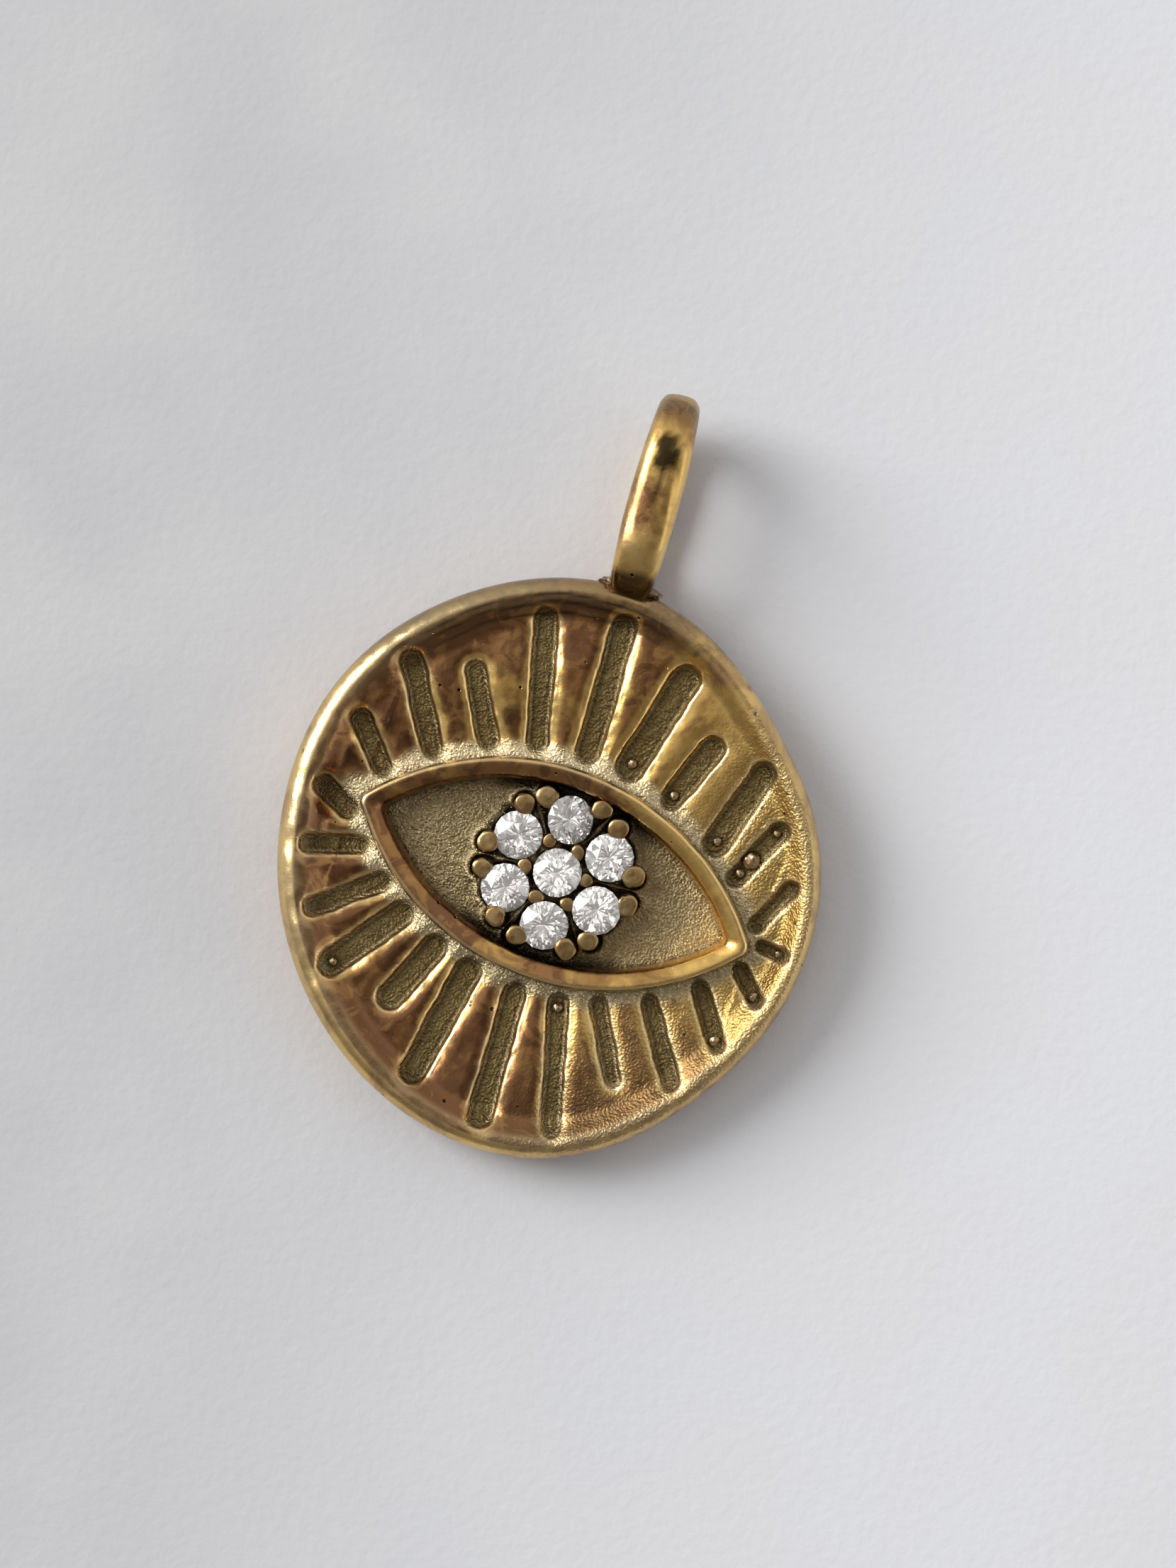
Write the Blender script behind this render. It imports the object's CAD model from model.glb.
"""Evil eye charm: the cast medallion, its almond eye, the stone rosette and the bail, finished in antiqued gold.

Shapes are worked out in millimetres in the charm's own frame and written as metres.
"""

import math

import bpy
import numpy as np
from mathutils import Matrix, Vector


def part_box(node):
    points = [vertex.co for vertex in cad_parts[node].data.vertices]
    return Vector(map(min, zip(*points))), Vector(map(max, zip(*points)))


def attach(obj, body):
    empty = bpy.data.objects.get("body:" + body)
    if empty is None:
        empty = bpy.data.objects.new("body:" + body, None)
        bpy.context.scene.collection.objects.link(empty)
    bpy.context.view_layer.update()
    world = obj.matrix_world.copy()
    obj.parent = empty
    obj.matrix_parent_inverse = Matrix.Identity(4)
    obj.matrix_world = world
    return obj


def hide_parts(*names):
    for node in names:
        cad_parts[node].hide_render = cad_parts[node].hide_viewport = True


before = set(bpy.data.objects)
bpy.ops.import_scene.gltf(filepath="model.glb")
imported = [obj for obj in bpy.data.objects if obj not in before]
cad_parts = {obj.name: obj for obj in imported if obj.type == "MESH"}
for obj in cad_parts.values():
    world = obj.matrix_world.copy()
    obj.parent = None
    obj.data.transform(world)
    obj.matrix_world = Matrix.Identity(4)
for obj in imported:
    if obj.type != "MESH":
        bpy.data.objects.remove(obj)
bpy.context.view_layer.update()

MM = 0.001


# ---- sizes, in millimetres


def box_mm(name):
    """Lowest and highest corner of a CAD node."""
    low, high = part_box(name)
    return np.array(low) / MM, np.array(high) / MM


DISC_TOP = box_mm("medallion")[1][2]
BAIL_LOW, BAIL_HIGH = box_mm("bail")
SOLDER_LOW, SOLDER_HIGH = box_mm("bail_solder")
PLATE_LOW, PLATE_HIGH = box_mm("rosette_plate")
STONES = ["stone_centre"] + ["stone_ring_%d" % i for i in range(1, 7)]
ROSETTE = sum(box_mm("stone_centre")) / 2

LEAN = 15.5              # degrees that the charm's +Y leans to the right as it lies

# Medallion
EDGE_WAVES = 8           # waves that the hand-formed edge is made of
RIM_CREST = (0.46, 0.12) # edge to the crest of the rim: its mean, and how much more on the left
RIM_FALL = (1.00, 0.12)  # crest to the foot of the rim, in the same way
RIM_SHOULDER = 0.70      # how far down the rounding of the rim reaches
BROAD_SIDE = 190         # bearing of the side where the rim is broadest
POLISHED_SIDE = 165      # bearing of the side where the rim is worn brightest
TOOL_LINES = (0.58, 0.82, 1.12)    # edge to each dark line at the top of the rim
SATIN_FACE = 0.50        # how matt the face is at the lower right
SATIN_RIM = 0.30
SIDE_AGEING = 0.45
BACK_ROUND = 0.40        # rounding of the back edge
BACK_RINGS = (6.5, 4.0, 1.5)       # radii of the rings of points on the flat back
FACE_AT_RIM = 1.60       # height of the face at the rim's foot
FACE_AT_EYE = 1.38       # height of the face beside the eye frame
PAN_HEIGHT = box_mm("eye_frame")[0][2]
PAN_MATT = 0.54
POCKET_FLOOR = PLATE_LOW[2] + 0.05
COLUMNS = 720            # points round the medallion
POCKET_RIM = 2.4         # radius where the even rings of points begin
FACE_RINGS = 86          # rings of points from the rosette to the rim's crest

# Rosette
OUTER_CLAW_PITCH = 2.31  # middle of the rosette to a claw
OUTER_CLAW_SPREAD = 9.7  # degrees from a gap between stones to each of its claws
OUTER_CLAW = 0.35        # radius of a claw's head
OUTER_TIP = 1.88         # height of the claw's top above the back
INNER_CLAW = 0.27
INNER_TIP = 1.76
STONE_ROOM = 0.80        # radius kept clear for a stone in the rosette's pocket
CLAW_ROOM = 0.03         # and how far it is kept clear round a claw

# Almond eye frame
EYE = (0.10, -0.21)      # its middle
EYE_TURN = -5.9          # degrees
LID_RADIUS = 8.0
EYE_HALF_HEIGHT = 3.27
LID_DROP = LID_RADIUS - EYE_HALF_HEIGHT    # middle of the eye to the middle of a lid's arc
FRAME_WIDTH = 0.72
CORNER_OUTSIDE = 0.35
CORNER_INSIDE = 0.20

# Rays: the bearing of the inner end from the middle of the eye, the bearing of the outer end from the middle of the
# medallion, how far it stops short of the rim's crest, and its width.
RAYS = [
    (1, 10, 0.15, 0.52), (14, 24, 0.32, 0.62), (26, 39, 0.08, 0.82), (48, 52, 1.10, 0.78), (70, 70, 0.50, 0.92),
    (90, 89, 0.28, 0.78), (113, 107, 0.42, 0.68), (132, 127, 1.45, 0.66), (150, 140, 0.28, 0.68),
    (164, 158, 0.45, 0.60), (178, 176, 0.25, 0.62), (187, 190, 0.15, 0.58), (198, 205, 0.18, 0.62),
    (210, 219, 0.15, 0.80), (227, 234, 1.32, 0.80), (244, 251, 0.30, 0.82), (267, 269, 0.12, 0.72),
    (287, 285, 0.15, 0.60), (304, 301, 1.10, 0.52), (322, 314, 0.10, 0.56), (337, 328, 0.08, 0.55),
    (348, 342, 0.05, 0.50), (356, 354, 0.02, 0.42),
]
RAY_CREST = 0.55         # edge to the crest that the rays are measured from
RAY_GAP = 0.22
RAY_WALL = 0.15          # width of a ray's sloping side
SHOULDER = 0.40          # width of the soft fall beside a ray
SHOULDER_DROP = 0.10

# Casting beads left in the rays: which ray, how far along it from the eye outwards, and the bead's radius.
BEADS = [
    (4, 0.04, 0.14), (3, 0.05, 0.14), (2, 0.03, 0.13), (1, 0.10, 0.14), (1, 0.38, 0.27), (1, 0.97, 0.12),
    (17, 0.05, 0.15), (20, 0.95, 0.17), (21, 0.92, 0.15), (13, 0.98, 0.13), (22, 0.9, 0.1),
]


# ---- small tools


def smoothstep(low, high, x):
    t = np.clip((x - low) / (high - low), 0, 1)
    return t * t * (3 - 2 * t)


def ridge(x, centre, width):
    """A smooth ridge of height 1 at the centre."""
    return np.exp(-((x - centre) / width) ** 2)


def wobble(x, y, size, seed):
    """Smooth noise from -1 to 1 whose lumps are about size apart."""
    cells = 64
    lattice = np.random.RandomState(seed).uniform(-1, 1, (cells, cells))
    u, v = np.asarray(x) / size + 17.3, np.asarray(y) / size + 29.1
    i, j = np.floor(u).astype(int), np.floor(v).astype(int)
    fu, fv = u - i, v - j
    fu, fv = fu * fu * (3 - 2 * fu), fv * fv * (3 - 2 * fv)
    a, b = i % cells, j % cells
    c, d = (i + 1) % cells, (j + 1) % cells
    low = lattice[a, b] * (1 - fu) + lattice[c, b] * fu
    high = lattice[a, d] * (1 - fu) + lattice[c, d] * fu
    return low * (1 - fv) + high * fv


def polar(radius, bearing, centre=(0.0, 0.0)):
    a = math.radians(bearing)
    return np.array([centre[0] + radius * math.cos(a), centre[1] + radius * math.sin(a)])


def skin(rows, loop):
    """Points and faces over rows of points. Each row closes on itself. The rows close on each other if loop is set,
    and otherwise the first and last rows are closed with a fan."""
    rows = np.asarray(rows, float)
    count, width = rows.shape[:2]
    points = rows.reshape(-1, 3)
    faces = []
    for i in range(count if loop else count - 1):
        a, b = i * width, (i + 1) % count * width
        for j in range(width):
            k = (j + 1) % width
            faces.append((a + j, a + k, b + k, b + j))
    if not loop:
        points = np.vstack([points, rows[0].mean(axis=0), rows[-1].mean(axis=0)])
        first, last, end = count * width, count * width + 1, (count - 1) * width
        for j in range(width):
            k = (j + 1) % width
            faces.append((first, k, j))
            faces.append((last, end + j, end + k))
    return points, faces


def outwards(points, faces):
    """The faces, all turned round if they point into the solid."""
    volume = 0.0
    for face in faces:
        a = points[face[0]]
        for k in range(1, len(face) - 1):
            volume += float(np.dot(a, np.cross(points[face[k]], points[face[k + 1]])))
    return faces if volume > 0 else [tuple(reversed(face)) for face in faces]


def hand_over(name, mesh, replaced):
    """Makes a mesh a piece that rides on the charm's one body, with its finish and the nodes that it stands for."""
    piece = bpy.data.objects.new(name, mesh)
    bpy.context.scene.collection.objects.link(piece)
    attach(piece, "root")
    if replaced:
        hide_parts(*replaced)
    return piece


def make_piece(name, points, faces, material, replaced, smooth=True):
    """A closed piece from points in millimetres."""
    points = np.asarray(points, float)
    mesh = bpy.data.meshes.new(name)
    mesh.from_pydata((points * MM).tolist(), [], outwards(points, faces))
    mesh.materials.append(material)
    mesh.polygons.foreach_set("use_smooth", [smooth] * len(mesh.polygons))
    mesh.update()
    return hand_over(name, mesh, replaced)


def paint(piece, *masks):
    """Stores four masks on the piece's points: matt, soot, wear and ageing."""
    layer = piece.data.attributes.new("finish", "FLOAT_COLOR", "POINT")
    layer.data.foreach_set("color", np.clip(np.stack(masks, 1), 0, 1).astype(np.float32).ravel())


# ---- shader groups and materials


def add(tree, kind, inputs=None, **settings):
    """Adds a node. An input is given by its name or number, as a value or as a socket to link from."""
    made = tree.nodes.new(kind if "Node" in kind else "ShaderNode" + kind)
    for key, value in settings.items():
        setattr(made, key, value)
    for key, value in (inputs or {}).items():
        if isinstance(value, bpy.types.NodeSocket):
            tree.links.new(value, made.inputs[key])
        else:
            made.inputs[key].default_value = value
    return made


def result(tree, kind, inputs=None, **settings):
    """Adds a node and gives its first output."""
    return add(tree, kind, inputs, **settings).outputs[0]


def math_node(tree, operation, a, b=0.0):
    return result(tree, "Math", {0: a, 1: b}, operation=operation)


def times(tree, a, b):
    return math_node(tree, "MULTIPLY", a, b)


def plus(tree, a, b):
    return math_node(tree, "ADD", a, b)


def noise(tree, place, scale, detail, roughness=0.5, distortion=0.0):
    inputs = {"Vector": place, "Scale": scale, "Detail": detail, "Roughness": roughness, "Distortion": distortion}
    return add(tree, "TexNoise", inputs).outputs["Fac"]


def mix_colour(tree, amount, a, b):
    return add(tree, "Mix", {0: amount, 6: a, 7: b}, data_type="RGBA").outputs[2]


def remap(tree, value, low, high, to_low=0.0, to_high=1.0):
    inputs = {"Value": value, "From Min": low, "From Max": high, "To Min": to_low, "To Max": to_high}
    return result(tree, "MapRange", inputs, interpolation_type="SMOOTHSTEP")


def new_group(name, kind, inputs, outputs):
    """A Shader or Geometry group. Inputs are (name, socket kind, value); outputs are (name, socket kind)."""
    group = bpy.data.node_groups.new(name, kind + "NodeTree")
    for label, socket_kind, value in inputs:
        socket = group.interface.new_socket(label, in_out="INPUT", socket_type="NodeSocket" + socket_kind)
        if value is not None:
            socket.default_value = value
    for label, socket_kind in outputs:
        group.interface.new_socket(label, in_out="OUTPUT", socket_type="NodeSocket" + socket_kind)
    return group, group.nodes.new("NodeGroupInput").outputs, group.nodes.new("NodeGroupOutput").inputs


def use_group(tree, group, inputs):
    return add(tree, "Group", dict(inputs), node_tree=group).outputs


def make_cast_grain():
    """The pitted, sandblasted skin of cast metal: a height and a mask of glittering specks."""
    group, given, out = new_group(
        "cast_grain", "Shader",
        [("Vector", "Vector", None), ("Grain Size", "Float", 0.09), ("Depth", "Float", 0.02)],
        [("Height", "Float"), ("Specks", "Float")],
    )
    scale = math_node(group, "DIVIDE", 1.0, given["Grain Size"])
    coarse = noise(group, given["Vector"], scale, 3.0, roughness=0.65)
    cells = add(group, "TexVoronoi", {"Vector": given["Vector"], "Scale": scale}, feature="SMOOTH_F1")
    pits = remap(group, cells.outputs["Distance"], 0.1, 0.75)
    both = plus(group, times(group, pits, 0.6), coarse)
    group.links.new(times(group, both, given["Depth"]), out["Height"])
    glitter = add(group, "TexVoronoi", {"Vector": given["Vector"], "Scale": scale}, feature="F1")
    bright = result(group, "SeparateColor", {0: glitter.outputs["Color"]})
    group.links.new(remap(group, bright, 0.80, 0.98), out["Specks"])
    return group


def make_hand_polish():
    """Hand-polished metal: slow waves, fine scratches and a roughness that varies."""
    group, given, out = new_group(
        "hand_polish", "Shader",
        [("Vector", "Vector", None), ("Wave Depth", "Float", 0.02), ("Scratch Depth", "Float", 0.001),
         ("Roughness", "Float", 0.25)],
        [("Height", "Float"), ("Roughness", "Float")],
    )
    place = given["Vector"]
    stretched = result(group, "Mapping", {"Vector": place, "Scale": (2.5, 26.0, 9.0)})
    scratches = plus(group, noise(group, stretched, 1.0, 4.0), noise(group, place, 14.0, 5.0))
    waves = times(group, noise(group, place, 1.1, 2.0), given["Wave Depth"])
    group.links.new(plus(group, waves, times(group, scratches, given["Scratch Depth"])), out["Height"])
    smear = remap(group, noise(group, place, 2.6, 4.0), 0.3, 0.7, 0.75, 1.35)
    group.links.new(times(group, given["Roughness"], smear), out["Roughness"])
    return group


def make_antique():
    """Antiqued gold: bright gold that turns to copper brown with age, dark blotches on the aged parts, and pits."""
    group, given, out = new_group(
        "antique_gold", "Shader",
        [("Vector", "Vector", None), ("Gold", "Color", (1, 1, 1, 1)), ("Brown", "Color", (1, 1, 1, 1)),
         ("Blotch", "Color", (0, 0, 0, 1)), ("Ageing", "Float", 0.5), ("Patch Size", "Float", 1.2),
         ("Blotches", "Float", 0.5), ("Pits", "Float", 0.5)],
        [("Color", "Color"), ("Pit Height", "Float")],
    )
    place = given["Vector"]
    scale = math_node(group, "DIVIDE", 1.0, given["Patch Size"])
    patches = noise(group, place, scale, 5.0, roughness=0.6, distortion=0.6)
    lift = math_node(group, "SUBTRACT", given["Ageing"], 0.5)
    aged = remap(group, plus(group, patches, lift), 0.36, 0.62)
    shifted = result(group, "VectorMath", {0: place, 1: (7.7, 3.1, 5.3)}, operation="ADD")
    spots = noise(group, shifted, 1.35, 4.0, roughness=0.55, distortion=0.9)
    blotched = remap(group, plus(group, spots, times(group, lift, 0.35)), 0.52, 0.62)
    blotched = times(group, blotched, times(group, aged, given["Blotches"]))
    cells = add(group, "TexVoronoi", {"Vector": place, "Scale": 1.7}, feature="F1")
    chosen = result(group, "SeparateColor", {0: cells.outputs["Color"]})
    size = remap(group, chosen, 0.0, 1.0, -0.02, 0.085)
    pit = remap(group, math_node(group, "SUBTRACT", cells.outputs["Distance"], size), 0.0, 0.035, 1.0, 0.0)
    pit = times(group, pit, given["Pits"])
    tone = mix_colour(group, aged, given["Gold"], given["Brown"])
    tone = mix_colour(group, blotched, tone, given["Blotch"])
    group.links.new(mix_colour(group, pit, tone, SOOT), out["Color"])
    group.links.new(times(group, pit, -PIT_DEPTH), out["Pit Height"])
    return group


PIT_DEPTH = 0.03
POLISHED = 0.25          # roughness of polished metal
SANDBLASTED = 0.42       # roughness of sandblasted metal
GOLD = (0.74, 0.475, 0.150, 1)
BROWN = (0.38, 0.198, 0.078, 1)
BLOTCH = (0.20, 0.095, 0.048, 1)
SOOT = (0.020, 0.014, 0.009, 1)
OLIVE = (0.175, 0.128, 0.052, 1)
SAND = (0.96, 0.84, 0.56, 1)
WORN = (0.98, 0.80, 0.44, 1)
CLAW_TOP = (0.42, 0.30, 0.14, 1)
BEAD = (0.42, 0.33, 0.21, 1)
GRIT = (0.80, 0.68, 0.42, 1)
SOLDER = (0.38, 0.285, 0.17, 1)
OLD_SOLDER = (0.19, 0.125, 0.075, 1)
CAST_GRAIN = make_cast_grain()
HAND_POLISH = make_hand_polish()
ANTIQUE = make_antique()


def new_material(name):
    """A material, its tree, its main shader and its Object coordinates in millimetres."""
    material = bpy.data.materials.new(name)
    material.use_nodes = True
    tree = material.node_tree
    tree.nodes.clear()
    shader = add(tree, "BsdfPrincipled")
    add(tree, "OutputMaterial", {"Surface": shader.outputs[0]})
    place = add(tree, "TexCoord").outputs["Object"]
    scaled = result(tree, "VectorMath", {0: place, "Scale": 1 / MM}, operation="SCALE")
    return material, tree, shader, scaled


def feed(tree, shader, **sources):
    """Links or sets the main shader's inputs, named with a _ for a space."""
    for label, source in sources.items():
        socket = shader.inputs[label.replace("_", " ")]
        if isinstance(source, bpy.types.NodeSocket):
            tree.links.new(source, socket)
        else:
            socket.default_value = source


def add_relief(tree, shader, height):
    """Turns a height in millimetres into the shader's normal."""
    bump = add(tree, "Bump", {"Height": height, "Strength": 1.0, "Distance": MM})
    tree.links.new(bump.outputs[0], shader.inputs["Normal"])


def make_masked_gold(name):
    """Cast gold that is polished, matt, sooty or worn where the piece's masks say."""
    material, tree, shader, place = new_material(name)
    masks = add(tree, "Attribute", attribute_name="finish")
    matt, soot, wear = add(tree, "SeparateColor", {0: masks.outputs["Color"]}).outputs
    grain = use_group(tree, CAST_GRAIN, {"Vector": place, "Grain Size": 0.075, "Depth": 0.036})
    polish = use_group(tree, HAND_POLISH, {"Vector": place, "Wave Depth": 0.035, "Scratch Depth": 0.0016,
                                           "Roughness": POLISHED})
    antique = use_group(tree, ANTIQUE, {"Vector": place, "Gold": GOLD, "Brown": BROWN, "Blotch": BLOTCH,
                                        "Ageing": masks.outputs["Alpha"], "Patch Size": 1.5, "Blotches": 0.8,
                                        "Pits": 1.0})
    bright = mix_colour(tree, times(tree, wear, 0.7), antique["Color"], WORN)
    dull = mix_colour(tree, times(tree, wear, 0.78), OLIVE, SAND)
    glitter = times(tree, grain["Specks"], plus(tree, times(tree, wear, 0.8), 0.07))
    dull = mix_colour(tree, glitter, dull, SAND)
    tone = mix_colour(tree, soot, mix_colour(tree, matt, bright, dull), SOOT)
    rough = result(tree, "Mix", {0: matt, 2: polish["Roughness"], 3: SANDBLASTED}, data_type="FLOAT")
    feed(tree, shader, Base_Color=tone, Roughness=rough, Metallic=1.0)
    fine = times(tree, grain["Height"], plus(tree, matt, 0.04))
    smooth = times(tree, plus(tree, polish["Height"], antique["Pit Height"]), math_node(tree, "SUBTRACT", 1.0, matt))
    add_relief(tree, shader, plus(tree, fine, smooth))
    return material


def make_polished_gold(name, gold, ageing, roughness, waves, patch):
    """Polished gold for the small pieces, which have no masks."""
    material, tree, shader, place = new_material(name)
    polish = use_group(tree, HAND_POLISH, {"Vector": place, "Wave Depth": waves, "Scratch Depth": 0.0013,
                                           "Roughness": roughness})
    antique = use_group(tree, ANTIQUE, {"Vector": place, "Gold": gold, "Brown": BROWN, "Blotch": BLOTCH,
                                        "Ageing": ageing, "Patch Size": patch, "Blotches": 0.5, "Pits": 0.6})
    feed(tree, shader, Base_Color=antique["Color"], Roughness=polish["Roughness"], Metallic=1.0)
    grain = use_group(tree, CAST_GRAIN, {"Vector": place, "Grain Size": 0.07, "Depth": 0.0016})
    relief = plus(tree, polish["Height"], antique["Pit Height"])
    add_relief(tree, shader, plus(tree, relief, grain["Height"]))
    return material


def make_solder():
    material, tree, shader, place = new_material("solder")
    grain = use_group(tree, CAST_GRAIN, {"Vector": place, "Grain Size": 0.16, "Depth": 0.05})
    antique = use_group(tree, ANTIQUE, {"Vector": place, "Gold": SOLDER, "Brown": OLD_SOLDER, "Blotch": BLOTCH,
                                        "Ageing": 0.55, "Patch Size": 0.5, "Blotches": 0.7, "Pits": 0.0})
    tone = mix_colour(tree, times(tree, grain["Specks"], 0.7), antique["Color"], SAND)
    feed(tree, shader, Base_Color=tone, Metallic=1.0, Roughness=0.36)
    add_relief(tree, shader, grain["Height"])
    return material


def make_oxidised():
    material, tree, shader, place = new_material("oxidised_gold")
    grain = use_group(tree, CAST_GRAIN, {"Vector": place, "Grain Size": 0.1, "Depth": 0.03})
    tone = mix_colour(tree, grain["Specks"], SOOT, (0.16, 0.12, 0.07, 1))
    feed(tree, shader, Base_Color=tone, Metallic=0.85, Roughness=0.55)
    add_relief(tree, shader, grain["Height"])
    return material


def make_clear_stone():
    """Clear stone in which each facet returns a little more or less light, as the piece's facet tones say."""
    material, tree, shader, place = new_material("clear_stone")
    tone = mix_colour(tree, noise(tree, place, 3.0, 3.0), (1.0, 0.99, 0.98, 1), (1.0, 0.97, 0.94, 1))
    facet = add(tree, "Attribute", attribute_name="facet").outputs["Fac"]
    tone = mix_colour(tree, facet, (0.55, 0.53, 0.52, 1), tone)
    dust = remap(tree, noise(tree, place, 12.0, 4.0), 0.5, 0.8, 0.0, 0.05)
    feed(tree, shader, Base_Color=tone, Roughness=dust, Transmission_Weight=0.84, IOR=2.15)
    return material


def make_floor_material():
    """Pale matt cloth, a little greyer towards the left."""
    material, tree, shader, place = new_material("pale_table")
    across = result(tree, "SeparateXYZ", {0: place})
    tone = mix_colour(tree, remap(tree, across, -20.0, 22.0), (0.52, 0.53, 0.56, 1), (0.79, 0.81, 0.87, 1))
    cloud = remap(tree, noise(tree, place, 0.12, 3.0), 0.35, 0.7, 0.0, 0.25)
    tone = mix_colour(tree, cloud, tone, (0.74, 0.73, 0.74, 1))
    feed(tree, shader, Base_Color=tone, Roughness=0.85)
    add_relief(tree, shader, times(tree, noise(tree, place, 3.0, 4.0), 0.02))
    return material


# ---- outlines


def read_edge():
    """The medallion's edge radius at every column, from the CAD solid's widest points, kept to its slow waves."""
    spots = np.array([v.co[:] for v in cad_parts["medallion"].data.vertices]) / MM
    reach = np.hypot(spots[:, 0], spots[:, 1])
    on_wall = (np.abs(spots[:, 2] - BACK_ROUND) < 0.01) & (reach > 0.8 * reach.max())
    bearing = np.arctan2(spots[on_wall, 1], spots[on_wall, 0])
    order = np.argsort(bearing)
    turn = np.arange(COLUMNS) * 2 * math.pi / COLUMNS
    read = np.interp(turn, bearing[order], reach[on_wall][order], period=2 * math.pi)
    waves = np.fft.rfft(read)
    waves[EDGE_WAVES + 1:] = 0
    return turn, np.fft.irfft(waves, COLUMNS)


TURN, EDGE = read_edge()


def edge_at(turn):
    """The edge's radius at a bearing in radians."""
    return np.interp(turn, TURN, EDGE, period=2 * math.pi)


def from_edge(x, y):
    """The bearing of each place in radians, and how far it is inside the edge."""
    turn = np.arctan2(y, x)
    return turn, edge_at(turn) - np.hypot(x, y)


def to_eye(x, y):
    """Places seen from the middle of the eye, along its own long and short axes."""
    t = math.radians(EYE_TURN)
    dx, dy = x - EYE[0], y - EYE[1]
    return dx * math.cos(t) + dy * math.sin(t), dy * math.cos(t) - dx * math.sin(t)


def lid_distance(x, y):
    """How far a place is outside the eye frame; negative inside."""
    u, v = to_eye(x, y)
    lid = np.hypot(u, np.abs(v) + LID_DROP) - LID_RADIUS
    tip = math.sqrt(LID_RADIUS ** 2 - LID_DROP ** 2)
    return np.where(np.abs(u) > tip, np.maximum(lid, np.hypot(np.abs(u) - tip, v)), lid)


def frame_reach(bearing):
    """How far the outside of the eye frame is from the middle of the eye."""
    s = abs(math.sin(math.radians(bearing - EYE_TURN)))
    return math.sqrt(LID_DROP ** 2 * (s ** 2 - 1) + LID_RADIUS ** 2) - LID_DROP * s


def almond(inset, along_lid=150, along_corner=22):
    """The eye frame's outline moved inwards by inset, as points that match at every inset."""
    corner = CORNER_OUTSIDE + (CORNER_INSIDE - CORNER_OUTSIDE) * inset / FRAME_WIDTH
    r = LID_RADIUS - inset
    c = math.sqrt((r - corner) ** 2 - LID_DROP ** 2)
    lean = math.atan2(LID_DROP, c)
    lid = np.linspace(math.pi - lean, lean, along_lid, endpoint=False)
    bend = np.linspace(lean, -lean, along_corner, endpoint=False)
    upper = np.stack([r * np.cos(lid), r * np.sin(lid) - LID_DROP], 1)
    right = np.stack([c + corner * np.cos(bend), corner * np.sin(bend)], 1)
    half = np.vstack([upper, right])
    t = math.radians(EYE_TURN)
    turned = np.vstack([half, -half]) @ np.array([[math.cos(t), math.sin(t)], [-math.sin(t), math.cos(t)]])
    return turned + np.array(EYE)


def ray_line(ray):
    """The two ends of a ray's middle line, between the centres of its round ends."""
    inner, outer, short, width = ray
    start = polar(frame_reach(inner) + RAY_GAP + width / 2, inner, EYE)
    end = polar(edge_at(math.radians(outer)) - RAY_CREST - short - width / 2, outer)
    return start, end


# ---- the medallion's face


def ray_distance(x, y):
    """Distance to the nearest ray's edge, negative inside, and that ray's depth."""
    nearest = np.full(x.shape, 9.0)
    depth = np.zeros(x.shape)
    ragged = 0.030 * wobble(x, y, 0.6, 3) + 0.014 * wobble(x, y, 0.18, 4)
    for number, ray in enumerate(RAYS):
        start, end = ray_line(ray)
        along = end - start
        length = np.hypot(*along)
        t = np.clip(((x - start[0]) * along[0] + (y - start[1]) * along[1]) / length ** 2, 0, 1)
        gap = np.hypot(x - start[0] - t * along[0], y - start[1] - t * along[1])
        shape = 1 + 0.10 * math.sin(2.4 * number) * (t - 0.5)
        here = gap - (ray[3] / 2 + 0.03) * shape + ragged
        depth = np.where(here < nearest, 0.26 + 0.14 * ray[3] + 0.03 * math.sin(5.1 * number), depth)
        nearest = np.minimum(nearest, here)
    return nearest, depth


def rosette_places():
    """The middle and radius of every stone and outer claw."""
    first = sum(box_mm("stone_ring_1")) / 2 - ROSETTE
    bearing = math.degrees(math.atan2(first[1], first[0]))
    pitch = math.hypot(first[0], first[1])
    stones = [(ROSETTE[0], ROSETTE[1])] + [polar(pitch, bearing + 60 * i, ROSETTE) for i in range(6)]
    claws = []
    for gap in range(30, 360, 60):
        for spread in (-OUTER_CLAW_SPREAD, OUTER_CLAW_SPREAD):
            claws.append(polar(OUTER_CLAW_PITCH, bearing + gap + spread, ROSETTE))
    return bearing, pitch, stones, claws


FIRST_STONE, STONE_PITCH, STONE_PLACES, CLAW_PLACES = rosette_places()


def rosette_distance(x, y):
    """How far a place is outside the outline that the stones and claws make together."""
    nearest = np.full(x.shape, 9.0)
    for px, py in STONE_PLACES:
        nearest = np.minimum(nearest, np.hypot(x - px, y - py) - STONE_ROOM)
    for px, py in CLAW_PLACES:
        nearest = np.minimum(nearest, np.hypot(x - px, y - py) - OUTER_CLAW - CLAW_ROOM)
    return nearest


def as_hung(x, y):
    """How far a place is to the right and up when the charm leans to the right by LEAN."""
    t = math.radians(LEAN)
    return x * math.cos(t) + y * math.sin(t), y * math.cos(t) - x * math.sin(t)


def bead_places():
    places = []
    for number, share, radius in BEADS:
        start, end = ray_line(RAYS[number])
        places.append((*(start + (end - start) * share), radius))
    return places


def rim_sizes(turn):
    """Edge to crest, and crest to foot, at each bearing."""
    side = np.cos(turn - math.radians(BROAD_SIDE))
    crest = RIM_CREST[0] + RIM_CREST[1] * side + 0.03 * wobble(3 * np.cos(turn), 3 * np.sin(turn), 1.1, 16)
    fall = RIM_FALL[0] + RIM_FALL[1] * side + 0.12 * wobble(3 * np.cos(turn), 3 * np.sin(turn), 1.6, 8)
    return crest, fall


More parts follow.
